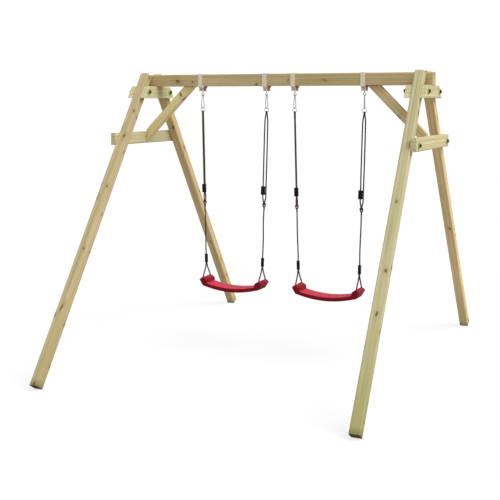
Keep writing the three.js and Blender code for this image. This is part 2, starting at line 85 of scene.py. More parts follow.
EYE_LOW_Z, EYE_LOW_BEND = 1.155, 0.006
EYE_TAIL_Z = 1.128  # where the spliced end of a lower rope comes out
SLEEVE_TOP, SLEEVE_END, SLEEVE_RADIUS = 0.746, 0.6775, 0.013
ROPE_SLOPE = (HANGER_SPREAD - SEAT_HOLE_X) / (RING_HANG_Z - SEAT_BLOCK_TOP)

# Each rope from left to right: its swing, its end of the seat and which side that is, and how
# far its hook and its upper loop hang turned about the vertical, in degrees.
ROPES = [
    ("left", "left", -1, -22, 8),
    ("left", "right", 1, -15, -50),
    ("right", "left", -1, -12, 11),
    ("right", "right", 1, 6, -50),
]


def leg_y(z):
    """How far the middle of a leg is from the beam's line at a height."""
    return FOOT_Y - (z - FOOT_Z) * math.tan(LEG_LEAN)


def swing_x(side):
    """Where a swing's middle hangs. The two are a little to the right of the beam's middle."""
    return SWING_OFFSET + SWING_X * side


def rope_spread(z):
    """How far a rope is from its swing's middle at a height."""
    return SEAT_HOLE_X + ROPE_SLOPE * max(0.0, z - SEAT_BLOCK_TOP)


# ---- Camera -------------------------------------------------------------------------------

camera_data = bpy.data.cameras.new("camera")
camera = bpy.data.objects.new("camera", camera_data)
bpy.context.collection.objects.link(camera)
camera.location = (2.8292, -6.8262, 1.9767)
camera.rotation_euler = (math.pi / 2 - 0.0293, -0.002, 0.4231)
camera_data.lens = 68.01
camera_data.sensor_width = 36
camera_data.shift_x = 0.0
camera_data.shift_y = -0.24
camera_data.clip_end = 200
bpy.context.scene.camera = camera

# ---- Lines and surfaces -------------------------------------------------------------------


def smooth_line(points, step, closed=False):
    """Points at about that step along a smooth line through the given points."""
    p = [np.array(q, float) for q in points]
    if closed:
        p = [p[-1], *p, p[0], p[1]]
    else:
        p = [2 * p[0] - p[1], *p, 2 * p[-1] - p[-2]]
    made = []
    for a, b, c, d in zip(p, p[1:], p[2:], p[3:]):
        gaps = [max(1e-6, math.dist(u, v)) ** 0.5 for u, v in ((a, b), (b, c), (c, d))]
        t1 = ((b - a) / gaps[0] - (c - a) / (gaps[0] + gaps[1]) + (c - b) / gaps[1]) * gaps[1]
        t2 = ((c - b) / gaps[1] - (d - b) / (gaps[1] + gaps[2]) + (d - c) / gaps[2]) * gaps[1]
        count = max(1, round(math.dist(b, c) / step))
        for i in range(count):
            t = i / count
            made.append(
                b + t1 * t + (3 * (c - b) - 2 * t1 - t2) * t**2
                + (2 * (b - c) + t1 + t2) * t**3
            )
    if not closed:
        made.append(p[-2])
    return made


def arc(across, z, radius, start, end, count):
    """(across, height) pairs on an arc, in degrees from the +across side."""
    angles = [math.radians(start + (end - start) * i / (count - 1)) for i in range(count)]
    return [(across + radius * math.cos(a), z + radius * math.sin(a)) for a in angles]


def build(name, verts, faces, material, uvs=None, smooth=True):
    """An object from vertices and faces, with its faces pointing out."""
    mesh = bpy.data.meshes.new(name)
    mesh.from_pydata([tuple(v) for v in verts], [], faces)
    if uvs is not None:
        layer = mesh.uv_layers.new(name="UVMap")
        for loop in mesh.loops:
            layer.data[loop.index].uv = uvs[loop.vertex_index]
    mesh.validate()
    solid = bmesh.new()
    solid.from_mesh(mesh)
    bmesh.ops.recalc_face_normals(solid, faces=solid.faces)
    solid.to_mesh(mesh)
    solid.free()
    mesh.polygons.foreach_set("use_smooth", [smooth] * len(mesh.polygons))
    mesh.materials.append(material)
    piece = bpy.data.objects.new(name, mesh)
    bpy.context.collection.objects.link(piece)
    return piece


def sweep(line, section, closed=False, turn_per_metre=0.0):
    """A tube along a line. section is a list of (x, y); it turns as it goes along."""
    line = [Vector(p) for p in line]
    n = len(line)
    tangents = []
    for i in range(n):
        before = line[i - 1] if i or closed else line[0]
        after = line[(i + 1) % n] if i < n - 1 or closed else line[-1]
        tangents.append((after - before).normalized())
    side = tangents[0].orthogonal().normalized()
    if abs(tangents[0].z) > 0.5:
        side = (Vector((1, 0, 0)) - tangents[0] * tangents[0].x).normalized()
    sides = [side]
    for i in range(1, n):
        side = tangents[i - 1].rotation_difference(tangents[i]) @ sides[-1]
        sides.append((side - tangents[i] * side.dot(tangents[i])).normalized())
    slip = 0.0
    if closed:
        back = tangents[-1].rotation_difference(tangents[0]) @ sides[-1]
        slip = math.atan2(tangents[0].dot(back.cross(sides[0])), back.dot(sides[0]))
    verts, uvs, along = [], [], 0.0
    for i in range(n):
        if i:
            along += (line[i] - line[i - 1]).length
        other = tangents[i].cross(sides[i])
        turn = along * turn_per_metre + slip * i / n
        c, s = math.cos(turn), math.sin(turn)
        for k, (x, y) in enumerate(section):
            verts.append(line[i] + sides[i] * (x * c - y * s) + other * (x * s + y * c))
            uvs.append((k / len(section), along))
    m = len(section)
    faces = []
    for i in range(n if closed else n - 1):
        j = (i + 1) % n
        for k in range(m):
            beside = (k + 1) % m
            faces.append((i * m + k, i * m + beside, j * m + beside, j * m + k))
    if not closed:
        faces.append(tuple(reversed(range(m))))
        faces.append(tuple(range((n - 1) * m, n * m)))
    return verts, faces, uvs


WIRE_STEP, WIRE_SIDES = 0.0025, 14


def circle(radius, sides):
    angles = [2 * math.pi * k / sides for k in range(sides)]
    return [(radius * math.cos(a), radius * math.sin(a)) for a in angles]


def wire(name, points, radius, closed=False):
    """A round steel wire bent along the points."""
    line = smooth_line(points, WIRE_STEP, closed)
    verts, faces, uvs = sweep(line, circle(radius, WIRE_SIDES), closed)
    return build(name, verts, faces, WIRE_METAL, uvs)


def lathe(name, profile, place, direction, material, sides=28, smooth=True):
    """A turned piece: profile is (radius, height) pairs along direction, closed on the axis."""
    axis = Vector(direction).normalized()
    u = axis.orthogonal().normalized()
    v = axis.cross(u)
    verts, faces, rings = [], [], []
    for radius, height in profile:
        centre = Vector(place) + axis * height
        count = 1 if radius == 0 else sides
        rings.append(range(len(verts), len(verts) + count))
        for k in range(count):
            a = 2 * math.pi * k / sides
            verts.append(centre + (u * math.cos(a) + v * math.sin(a)) * radius)
    for low, high in zip(rings, rings[1:]):
        for k in range(sides):
            beside = (k + 1) % sides
            if len(low) == 1:
                faces.append((low[0], high[beside], high[k]))
            elif len(high) == 1:
                faces.append((low[k], low[beside], high[0]))
            else:
                faces.append((low[k], low[beside], high[beside], high[k]))
    return build(name, verts, faces, material, smooth=smooth)


# ---- Materials ----------------------------------------------------------------------------


def srgb(r, g, b):
    """A linear colour from the 0 to 255 numbers of a screen."""
    values = [c / 255 for c in (r, g, b)]
    return tuple(c / 12.92 if c <= 0.04045 else ((c + 0.055) / 1.055) ** 2.4 for c in values) + (1,)


class Nodes:
    """A material's node tree, with short ways to add the nodes used here."""

    def __init__(self, name):
        self.material = bpy.data.materials.new(name)
        self.material.use_nodes = True
        self.tree = self.material.node_tree
        self.shader = self.tree.nodes["Principled BSDF"]

    def put(self, socket, value):
        if isinstance(value, bpy.types.NodeSocket):
            self.tree.links.new(value, socket)
        else:
            socket.default_value = value

    def add(self, kind, settings=(), **inputs):
        node = self.tree.nodes.new(kind)
        for key, value in dict(settings).items():
            setattr(node, key, value)
        for key, value in inputs.items():
            self.put(node.inputs[key.replace("_", " ")], value)
        return node

    def math(self, operation, *values):
        node = self.tree.nodes.new("ShaderNodeMath")
        node.operation = operation
        for socket, value in zip(node.inputs, values):
            self.put(socket, value)
        return node.outputs[0]

    def noise(self, vector, scale, detail=3.0, roughness=0.55):
        node = self.add("ShaderNodeTexNoise", Vector=vector, Scale=scale, Detail=detail,
                        Roughness=roughness)
        return node.outputs["Fac"]

    def between(self, value, low, high, to_low=0.0, to_high=1.0):
        """A smooth step from to_low at low to to_high at high, which may be the smaller one."""
        node = self.add("ShaderNodeMapRange", {"interpolation_type": "SMOOTHSTEP"})
        for key, given in (("Value", value), ("From Min", low), ("From Max", high),
                           ("To Min", to_low), ("To Max", to_high)):
            self.put(node.inputs[key], given)
        return node.outputs["Result"]

    def mix(self, share, a, b):
        """The colour a where share is 0 and b where it is 1."""
        node = self.tree.nodes.new("ShaderNodeMix")
        node.data_type = "RGBA"
        self.put(node.inputs["Factor"], share)
        colours = [s for s in node.inputs if s.type == "RGBA"]
        self.put(colours[0], a)
        self.put(colours[1], b)
        return next(s for s in node.outputs if s.type == "RGBA")

    def stretched(self, vector, scale):
        node = self.add("ShaderNodeMapping", Vector=vector, Scale=scale)
        return node.outputs["Vector"]

    def bump(self, height, distance, strength=1.0):
        node = self.add("ShaderNodeBump", Height=height, Distance=distance, Strength=strength)
        self.put(self.shader.inputs["Normal"], node.outputs["Normal"])

    def set(self, **values):
        for key, value in values.items():
            self.put(self.shader.inputs[key.replace("_", " ")], value)
        return self.material


def shade(colour, *factors):
    """A colour with its red, green and blue each multiplied."""
    return tuple(min(1.0, c * f) for c, f in zip(colour[:3], factors)) + (1,)


KNOT_COLUMNS, KNOT_ROWS = 4.0, 3.4  # places for a knot round a timber, and for each metre
KNOT_REACH = 0.062  # across one column
RINGS, BANDS = 190.0, 38.0  # growth rings, and their broader bands, for each metre
# Where the painted shade at a leg's foot starts, and where it is fullest, along the leg.
FOOT_SHADE_TOP, FOOT_SHADE_END = 0.75, 0.05


def timber(name, origin, turn, colour, seed, green, knots, foot_shade_and_tint=0.0):
    """Treated softwood whose grain runs along a timber: origin and turn say where it lies.

    seed sets its grain apart, green is how much of it is mossy and knots how many places for
    a knot have one. The last argument is how much darker and greener the wood is made towards
    its foot: the darkening is painted shade, the green tint is the wood's own. The foot's end
    is painted nearly black, as painted shade.
    """
    n = Nodes(name)
    place = n.add("ShaderNodeTexCoord").outputs["Object"]
    lie = n.add("ShaderNodeMapping", {"vector_type": "TEXTURE"}, Vector=place,
                Location=origin, Rotation=turn).outputs["Vector"]
    parts = n.add("ShaderNodeSeparateXYZ", Vector=lie)
    x, y, z = parts.outputs
    shifted = n.add("ShaderNodeMapping", Vector=lie, Location=(seed * 1.7, seed * 2.3, seed * 3.1))
    here = shifted.outputs["Vector"]
    # Growth rings lie round a pith outside the timber's middle, and wander along it.
    sway = n.noise(n.stretched(here, (3, 3, 1.1)), 1.0, 2.0)
    pith_x = 0.021 * math.sin(seed * 2.1)
    pith_y = -0.05 - 0.012 * math.cos(seed)
    # Knots: where branches grew, counted round the timber and along it, drawn out along it.
    angle = n.math("DIVIDE", n.math("ARCTAN2", y, x), 2 * math.pi)
    around = n.math("MULTIPLY", angle, KNOT_COLUMNS)
    along = n.math("ADD", n.math("MULTIPLY", z, KNOT_ROWS), seed * 7.7)
    cell = n.add("ShaderNodeCombineXYZ", X=around, Y=along)
    spot = n.add("ShaderNodeTexVoronoi", {"voronoi_dimensions": "2D"}, Vector=cell.outputs[0],
                 Scale=1.0, Randomness=0.9)
    centre = n.add("ShaderNodeSeparateXYZ", Vector=spot.outputs["Position"])
    pick = n.add("ShaderNodeSeparateXYZ", Vector=spot.outputs["Color"])
    off_around = n.math("MULTIPLY", n.math("SUBTRACT", around, centre.outputs["X"]), KNOT_REACH)
    off_along = n.math("DIVIDE", n.math("SUBTRACT", along, centre.outputs["Y"]), KNOT_ROWS)
    slant = n.math("MULTIPLY_ADD", pick.outputs["Z"], 0.7, -0.35)
    off_around = n.math("MULTIPLY_ADD", off_along, slant, off_around)
    off_along = n.math("MULTIPLY", off_along, n.math("MULTIPLY_ADD", pick.outputs["Z"], 0.4, 0.3))
    away = n.math("SQRT", n.math("ADD", n.math("MULTIPLY", off_around, off_around),
                                 n.math("MULTIPLY", off_along, off_along)))
    has_knot = n.math("LESS_THAN", pick.outputs["X"], knots)
    size = n.math("MULTIPLY_ADD", pick.outputs["Y"], 0.006, 0.0045)
    ragged = n.math("MULTIPLY_ADD", n.noise(lie, 160.0, 2.0), 0.005, -0.0025)
    reach = n.math("DIVIDE", n.math("ADD", away, ragged), size)
    core = n.math("MULTIPLY", n.between(reach, 1.2, 0.6), has_knot)
    halo = n.math("MULTIPLY", n.between(reach, 3.6, 0.9), has_knot)
    # The rings themselves, pushed aside round a knot.
    ring_x = n.math("SUBTRACT", x, pith_x)
    ring_y = n.math("SUBTRACT", y, pith_y)
    radius = n.math("SQRT", n.math("ADD", n.math("MULTIPLY", ring_x, ring_x),
                                   n.math("MULTIPLY", ring_y, ring_y)))
    pushed = n.math("ADD", radius, n.math("MULTIPLY", sway, 0.030))
    pushed = n.math("ADD", pushed, n.math("MULTIPLY", halo, 0.0042))
    ring = n.math("FRACT", n.math("MULTIPLY", pushed, RINGS))
    late = n.math("MULTIPLY", n.between(ring, 0.4, 0.9), n.between(ring, 1.0, 0.93))
    band = n.math("FRACT", n.math("MULTIPLY", pushed, BANDS))
    band = n.math("MULTIPLY", n.between(band, 0.1, 0.75), n.between(band, 1.0, 0.85))
    fibres = n.noise(n.stretched(here, (420, 420, 7)), 1.0, 4.0, 0.65)
    streaks = n.noise(n.stretched(here, (85, 85, 1.4)), 1.0, 4.0, 0.62)
    washes = n.noise(n.stretched(here, (24, 24, 0.9)), 1.0, 3.0, 0.6)
    blotches = n.noise(n.stretched(here, (9, 9, 2.2)), 1.0, 3.0, 0.6)
    dark = shade(colour, 0.60, 0.56, 0.42)
    pale = shade(colour, 1.22, 1.20, 1.30)
    mossy = shade(colour, 0.84, 0.92, 0.66)
    body = n.mix(n.between(washes, 0.36, 0.66), colour, pale)
    body = n.mix(n.math("MULTIPLY", n.between(blotches, 0.40, 0.68), green), body, mossy)
    # Darker and greener towards the foot: the darkening is painted shade, the green tint is the
    # wood's own.
    if foot_shade_and_tint:
        body = n.mix(n.between(z, FOOT_SHADE_TOP, FOOT_SHADE_END, 0.0, foot_shade_and_tint), body,
                     shade(colour, 0.66, 0.74, 0.48))
    body = n.mix(n.math("MULTIPLY", band, 0.34), body, dark)
    body = n.mix(n.math("MULTIPLY", n.between(streaks, 0.52, 0.36), 0.42), body, dark)
    body = n.mix(n.math("MULTIPLY", late, 0.30), body, dark)
    body = n.mix(n.math("MULTIPLY", n.between(fibres, 0.62, 0.35), 0.22), body, dark)
    body = n.mix(n.math("MULTIPLY", halo, 0.42), body, shade(colour, 0.62, 0.52, 0.36))
    body = n.mix(n.math("MULTIPLY", core, 0.8), body, srgb(84, 60, 32))
    # The foot's end is painted nearly black: painted shade of the end face, which stands in shadow.
    if foot_shade_and_tint:
        end_shade = n.math("MAXIMUM", n.between(z, 0.006, 0.001, 0.0, 0.9),
                        n.between(z, 0.060, 0.0, 0.0, 0.45))
        body = n.mix(end_shade, body, srgb(66, 58, 28))
    n.bump(n.math("ADD", n.math("MULTIPLY", fibres, 0.5),
                  n.math("MULTIPLY", late, -0.35)), 0.0009, 0.55)
    return n.set(Base_Color=body, Roughness=n.between(fibres, 0.2, 0.8, 0.66, 0.86),
                 Specular_IOR_Level=0.2)


def galvanised(name, colour, roughness, metallic):
    """Zinc with its flakes of lighter and darker crystals."""
    n = Nodes(name)
    place = n.add("ShaderNodeTexCoord").outputs["Object"]
    flakes = n.add("ShaderNodeTexVoronoi", Vector=place, Scale=190.0)
    tone = n.add("ShaderNodeSeparateXYZ", Vector=flakes.outputs["Color"]).outputs["X"]
    cloud = n.noise(place, 60.0, 4.0)
    dark = shade(colour, 0.72, 0.72, 0.72)
    body = n.mix(n.math("MULTIPLY", tone, 0.45), colour, dark)
    body = n.mix(n.between(cloud, 0.55, 0.8, 0.0, 0.5), body, dark)
    n.bump(cloud, 0.0003, 0.3)
    return n.set(Base_Color=body, Metallic=metallic,
                 Roughness=n.between(tone, 0.0, 1.0, roughness - 0.06, roughness + 0.12))


def moulded(name, colour, roughness, grain=900.0, wear=0.12, specular=0.5, sky_reflection=None):
    """Moulded plastic. The last argument is a painted reflection of the sky: a paler colour where
    the surface faces up, most of all low down.
    """
    n = Nodes(name)
    place = n.add("ShaderNodeTexCoord").outputs["Object"]
    fine = n.noise(place, grain, 2.0)
    cloud = n.noise(place, 26.0, 4.0, 0.6)
    light = tuple(min(1.0, c * 1.25 + 0.012) for c in colour[:3]) + (1,)
    body = n.mix(n.between(cloud, 0.45, 0.75, 0.0, wear * 4), colour, light)
    # Painted reflection of the sky on the faces that point up, fullest on the seat's pan and weaker
    # on the block tops.
    if sky_reflection:
        facing = n.add("ShaderNodeTexCoord").outputs["Normal"]
        facing = n.add("ShaderNodeSeparateXYZ", Vector=facing)
        height = n.add("ShaderNodeSeparateXYZ", Vector=place).outputs["Z"]
        share = n.math("MULTIPLY", n.between(facing.outputs["Z"], 0.55, 0.95),
                       n.between(height, 0.53, 0.56, 1.0, 0.35))
        body = n.mix(share, body, sky_reflection)
    n.bump(fine, 0.0003, 0.35)
    return n.set(Base_Color=body, Specular_IOR_Level=specular,
                 Roughness=n.between(cloud, 0.3, 0.7, roughness - 0.05, roughness + 0.08))


def fibre_rope(name):
    """Brown twisted fibre, stained here and there."""
    n = Nodes(name)
    uv = n.add("ShaderNodeTexCoord").outputs["UV"]
    yarns = n.noise(n.stretched(uv, (34, 160, 1)), 1.0, 3.0, 0.7)
    stains = n.noise(n.stretched(uv, (1.2, 9, 1)), 1.0, 3.0)
    body = n.mix(n.between(yarns, 0.3, 0.75), srgb(54, 40, 32), srgb(100, 80, 64))
    body = n.mix(n.between(stains, 0.45, 0.75, 0.0, 0.35), body, srgb(52, 38, 30))
    n.bump(yarns, 0.0008, 0.6)
    return n.set(Base_Color=body, Roughness=0.9, Specular_IOR_Level=0.08)


ROPE_LOOK = fibre_rope("rope_fibre")
BLACK = moulded("black_moulding", srgb(17, 14, 12), 0.6, wear=0.05, specular=0.14)
# The seat's pinker colour on its upward faces is a painted reflection of the sky.
SEAT_RED = moulded("seat_moulding", srgb(123, 6, 23), 0.5, 1200.0, 0.02, 0.12,
                   srgb(190, 50, 72))
CAP_GREEN = moulded("cap_green", srgb(46, 74, 12), 0.5, specular=0.08)
FLANGE_GREEN = moulded("flange_green", srgb(140, 166, 88), 0.5, specular=0.2)
STRAP_METAL = galvanised("strap_zinc", srgb(236, 222, 196), 0.5, 0.3)
WIRE_METAL = galvanised("wire_zinc", srgb(196, 190, 180), 0.3, 0.9)
BOLT_METAL = galvanised("bolt_zinc", srgb(170, 168, 150), 0.38, 0.9)

# Each leg's colour, what sets its grain apart, how green and how knotty it is, and how much painted
# shade and green tint it gets towards its foot.
LEG_LOOKS = {
    "front_left_leg": (srgb(190, 173, 134), 1.0, 0.3, 0.6, 0.5),
    "back_left_leg": (srgb(206, 182, 136), 2.0, 0.4, 0.4, 0.25),
    "front_right_leg": (srgb(194, 185, 147), 3.0, 0.5, 0.4, 1.0),
    # The back right leg is lighter than the others: painted light, making up for the shade it
    # stands in.
    "back_right_leg": (srgb(228, 202, 154), 4.0, 0.3, 0.4, 0.65),
}


def paint(node, material):
    """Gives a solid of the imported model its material."""
    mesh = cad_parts[node].data
    for i in range(max(1, len(mesh.materials))):
        if i < len(mesh.materials):
            mesh.materials[i] = material
        else:
            mesh.materials.append(material)


def middle_of(node):
    low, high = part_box(node)
    return tuple((a + b) / 2 for a, b in zip(low, high))


for side_name, side in SIDES:
    for end, front in ENDS:
        node = f"{end}_{side_name}_leg"
        paint(node, timber(node + "_wood", (side * LEG_X, front * FOOT_Y, FOOT_Z),
                           (front * LEG_LEAN, 0, 0), *LEG_LOOKS[node]))
        paint(f"{end}_{side_name}_upper_bolt", BOLT_METAL)
        paint(f"{end}_{side_name}_lower_screw", BOLT_METAL)
    for seed, board in enumerate(("outer", "inner", "lower")):
        node = f"{side_name}_{board}_crossboard"
        paint(node, timber(node + "_wood", middle_of(node), (math.pi / 2, 0, 0),
                           srgb(204, 192, 152), 5.0 + 3 * seed + side, 0.3, 0.3))
    node = f"{side_name}_brace"
    paint(node, timber(node + "_wood", middle_of(node), (0, -side * math.pi / 4, 0),
                       srgb(224 - 14 * side, 204 - 15 * side, 152 - 11 * side), 15.0 + side,
                       0.4, 0.5))
paint("beam", timber("beam_wood", (0, 0, BEAM_Z), (0, math.pi / 2, 0), srgb(198, 177, 134),
                     21.0, 0.5, 0.5))

# ---- Ropes --------------------------------------------------------------------------------

ROPE_STEP, ROPE_SIDES = 0.004, 15
STRANDS = 3
LAY_PITCH = 0.038  # length of one whole turn of the strands


def rope_section():
    """Three strands laid round each other, seen from the rope's end."""
    section = []
    for k in range(ROPE_SIDES):
        angle = 2 * math.pi * k / ROPE_SIDES
        swell = abs(math.cos(STRANDS * angle / 2)) ** 0.7
        radius = ROPE * (0.95 + 0.2 * swell)
        section.append((radius * math.cos(angle), radius * math.sin(angle)))
    return section


def rope(name, points, body, node):
    """A laid rope through the points."""
    line = smooth_line(points, ROPE_STEP)
    verts, faces, uvs = sweep(line, rope_section(), turn_per_metre=2 * math.pi / LAY_PITCH)
    piece = build(name, verts, faces, ROPE_LOOK, uvs)
    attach(piece, body)
    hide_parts(node)


TURN_LENGTH = 0.050  # the stretch of an upper loop, at each end, that twists


def loop_turn(z, degrees):
    """How far an upper loop is turned at a height: in line at its ends, turned between."""
    down = min(1.0, max(0.0, (RING_HANG_Z - 0.006 - z) / TURN_LENGTH))
    up = min(1.0, max(0.0, (z - LINK_Z - 0.015) / TURN_LENGTH))
    return math.radians(degrees) * min(down, up)


def upper_route(x0, side, degrees):
    """An endless loop, from the ring through the adjuster to the lower rope's eye and back."""
    bend = RING_WIRE + ROPE + 0.0005
    strand = [
        (bend + 0.0003, RING_HANG_Z - 0.012),
        (0.0092, RING_HANG_Z - 0.032),
        (0.0107, RING_HANG_Z - 0.058),
        (0.0118, RING_HANG_Z - 0.110),
        (0.0123, RING_HANG_Z - 0.220),
        (0.0125, RING_HANG_Z - 0.330),
        (0.0123, RING_HANG_Z - 0.450),
        (STRAND_SPREAD, ADJUSTER_TOP + 0.040),
        (STRAND_SPREAD, ADJUSTER_TOP + 0.002),
        (STRAND_SPREAD, (ADJUSTER_TOP + ADJUSTER_END) / 2),
        (STRAND_SPREAD, ADJUSTER_END - 0.002),
        (STRAND_SPREAD + 0.002, ADJUSTER_END - 0.018),
        (STRAND_SPREAD + 0.0035, ADJUSTER_END - 0.034),
        (STRAND_SPREAD + 0.002, LINK_Z + 0.014),
    ]
    held = 9  # the point inside the adjuster, where the rope starts and ends
    left = [(-across, z) for across, z in strand]
    line = [
        (left[held][0], left[held][1] + 0.004),
        *reversed(left[:held]),
        *arc(0, RING_HANG_Z, bend, 180, 0, 7),
        *strand,
        *arc(0, LINK_Z, LINK_BEND, 0, -180, 9),
        *reversed(left[held + 1:]),
        (left[held][0], left[held][1] - 0.004),
    ]
    points = []
    for across, z in line:
        turn = loop_turn(z, degrees)
        points.append((x0 + side * rope_spread(z) - across * math.sin(turn),
                       across * math.cos(turn), z))
    return points


def lower_route(x0, side):
    """From the sleeve up to the eye in the upper loop, and round it to the splice."""
    eye_x = x0 + side * rope_spread(LINK_Z)
    heights = [SLEEVE_TOP - 0.030 + 0.032 * i for i in range(13)]
    strand = []
    for z in heights:
        wave = 0.0016 * math.sin(17 * z + 3 * x0 + side)
        strand.append((x0 + side * rope_spread(z) + wave, 0.0012 * math.sin(21 * z + side), z))
    eye = [
        *arc(0, EYE_LOW_Z, EYE_LOW_BEND, -80, 0, 4),
        *arc(0, LINK_Z - LINK_BEND, LINK_BEND, 0, 180, 9),
        *arc(0, EYE_LOW_Z, EYE_LOW_BEND, 180, 262, 4),
    ]
    end = (x0 + side * rope_spread(EYE_TAIL_Z) + 0.003, 0.0, EYE_TAIL_Z)
    return [*strand, *((eye_x + across, 0.0, z) for across, z in eye), end]


def seat_route(x0, side):
    """From the sleeve down one hole of the seat's end, along the channel and up the other."""
    y = SEAT_HOLE_Y
    half = [
        (0.0035, 0.683),
        (0.0085, 0.664),
        (0.019, 0.638),
        (0.033, 0.616),
        (0.046, 0.596),
        (y - 0.005, 0.582),
        (y - 0.0005, 0.568),
        (y, 0.548),
        (y, 0.532),
        *arc(y - 0.010, SEAT_CHANNEL_ROPE + 0.010, 0.010, 0, -90, 5),
        (y - 0.035, SEAT_CHANNEL_ROPE),
    ]
    line = [*half, *((-across, z) for across, z in reversed(half))]
    return [(x0 + side * rope_spread(z), across, z) for across, z in line]


# ---- Hangers, hooks, adjusters and sleeves ------------------------------------------------


def ribbed_profile(half, radius, ribs, hole):
    """A ribbed sleeve's profile, open to a hole at both ends."""
    low, high = -half, half
    rib = (high - low) / ribs
    profile = [(0.0, low + 0.004), (hole, low + 0.004), (hole + 0.0006, low + 0.0006)]
    for i in range(ribs):
        foot = low + i * rib
        for share, size in ((0.02, 0.89), (0.12, 0.90), (0.22, 0.97), (0.34, 1.0), (0.66, 1.0),
                            (0.78, 0.97), (0.88, 0.90), (0.98, 0.89)):
            profile.append((radius * size, foot + rib * share))
    profile += [(hole + 0.0006, high - 0.0006), (hole, high - 0.004), (0.0, high - 0.004)]
    return profile


def hook_side(share):
    """A point on the gate's side of a hook, that share of the way down."""
    bend = HOOK_TOP_BEND + (HOOK_LOW_BEND - HOOK_TOP_BEND) * share
    return bend * math.cos(HOOK_SLOPE), bend * math.sin(HOOK_SLOPE) - HOOK_CENTRES * share


def turned(points, x, degrees):
    """(across, height) pairs in a hook's own plane, set at its place and turned."""
    a = math.radians(degrees)
    return [(x - y * math.sin(a), y * math.cos(a), HOOK_PIVOT_Z + z) for y, z in points]


def carry(piece, body, slot, *nodes):
    """Puts a piece on its body, and hides the solids that it stands for. slot is not used."""
    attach(piece, body)
    if nodes:
        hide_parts(*nodes)


def ring_points(x, z, radius, count):
    """Points round a ring that faces the front."""
    angles = [2 * math.pi * k / count for k in range(count)]
    return [(x + radius * math.cos(a), 0.0, z + radius * math.sin(a)) for a in angles]


def hanger(name, x):
    """The swivel eye, and the pin with its bush and heads that carries it in the strap."""
    paint(name + "_strap", STRAP_METAL)
    carry(wire(name + "_eye_wire", ring_points(x, EYE_Z, EYE_RADIUS, 16), EYE_WIRE, True),
          "frame", "steel", name + "_swivel_eye")
    top = PIN_Z - EYE_SHANK_Z
    shank = [(0, 0), (0.0031, 0), (0.0034, 0.004), (0.0034, top), (0, top)]
    carry(lathe(name + "_eye_shank", shank, (x, 0, EYE_SHANK_Z), (0, 0, 1), WIRE_METAL, 16),
          "frame", "steel")
    bush = [(0, -0.0255), (0.0078, -0.0255), (0.0082, -0.0245), (0.0082, -0.008),
            (0.0095, -0.007), (0.0095, 0.007), (0.0082, 0.008), (0.0082, 0.0245),
            (0.0078, 0.0255), (0, 0.0255)]
    carry(lathe(name + "_pin_bush", bush, (x, 0, PIN_Z), (0, 1, 0), WIRE_METAL), "frame", "steel")
    head = [(0, 0.0303), (0.0085, 0.0303), (0.0085, 0.0348), (0.0074, 0.0362), (0, 0.0366)]
    for end, front in ENDS:
        carry(lathe(f"{name}_pin_head_{end}", head, (x, 0, PIN_Z), (0, front, 0), WIRE_METAL, 6,
                    False), "frame", "steel")


def snap_hook(name, x, body, degrees):
    """The snap hook, its gate, and the ring that hangs in it."""
    slope = math.degrees(HOOK_SLOPE)
    hook = [hook_side(0.2), hook_side(0.1), *arc(0, 0, HOOK_TOP_BEND, slope, 180 - slope, 11),
            *arc(0, -HOOK_CENTRES, HOOK_LOW_BEND, 180 - slope, 360 + slope, 15), hook_side(0.78)]
    carry(wire(name + "_hook_wire", turned(hook, x, degrees), HOOK_WIRE_SEEN), body, "steel",
          name + "_snap_hook")
    gate = [hook_side(0.212), hook_side(0.5), hook_side(0.768)]
    carry(wire(name + "_gate_wire", turned(gate, x, degrees), GATE_WIRE), f"{name}_gate",
          "steel", name + "_snap_gate")
    carry(wire(name + "_ring_wire", ring_points(x, RING_Z, RING_RADIUS, 20), RING_WIRE, True),
          body, "steel", name + "_ring")


def grips(name, x0, side, upper, lower, degrees):
    """The adjuster on one strand of the upper rope, and the sleeve on the lower rope."""
    lean = (side * ROPE_SLOPE, 0, 1)
    middle, half = (ADJUSTER_TOP + ADJUSTER_END) / 2, (ADJUSTER_TOP - ADJUSTER_END) / 2
    turn = loop_turn(middle, degrees)
    place = (x0 + side * rope_spread(middle) + STRAND_SPREAD * math.sin(turn),
             -STRAND_SPREAD * math.cos(turn), middle)
    profile = ribbed_profile(half, ADJUSTER_RADIUS, 3, ROPE + 0.001)
    carry(lathe(name + "_adjuster_body", profile, place, lean, BLACK), upper, "black_plastic",
          name + "_rope_adjuster")
    middle, half = (SLEEVE_TOP + SLEEVE_END) / 2, (SLEEVE_TOP - SLEEVE_END) / 2
    profile = ribbed_profile(half, SLEEVE_RADIUS, 5, ROPE + 0.0012)
    carry(lathe(name + "_sleeve", profile, (x0 + side * rope_spread(middle), 0, middle), lean,
                BLACK), lower, "black_plastic")


for swing, end, side, hook_turn, loop_degrees in ROPES:
    name = f"{swing}_swing_{end}"
    upper, lower = f"{swing}_upper_ropes", f"{swing}_lower_ropes"
    x0 = swing_x(dict(SIDES)[swing])
    rope(name + "_upper_cord", upper_route(x0, side, loop_degrees), upper, name + "_upper_rope")
    rope(name + "_lower_cord", lower_route(x0, side), lower, name + "_lower_rope")
    rope(name + "_seat_cord", seat_route(x0, side), f"{swing}_seat_body",
         name + "_seat_rope_loop")
    hanger(name, x0 + side * HANGER_SPREAD)
    snap_hook(name, x0 + side * HANGER_SPREAD, upper, hook_turn)
    grips(name, x0, side, upper, lower, loop_degrees)

# ---- Bolt caps ----------------------------------------------------------------------------


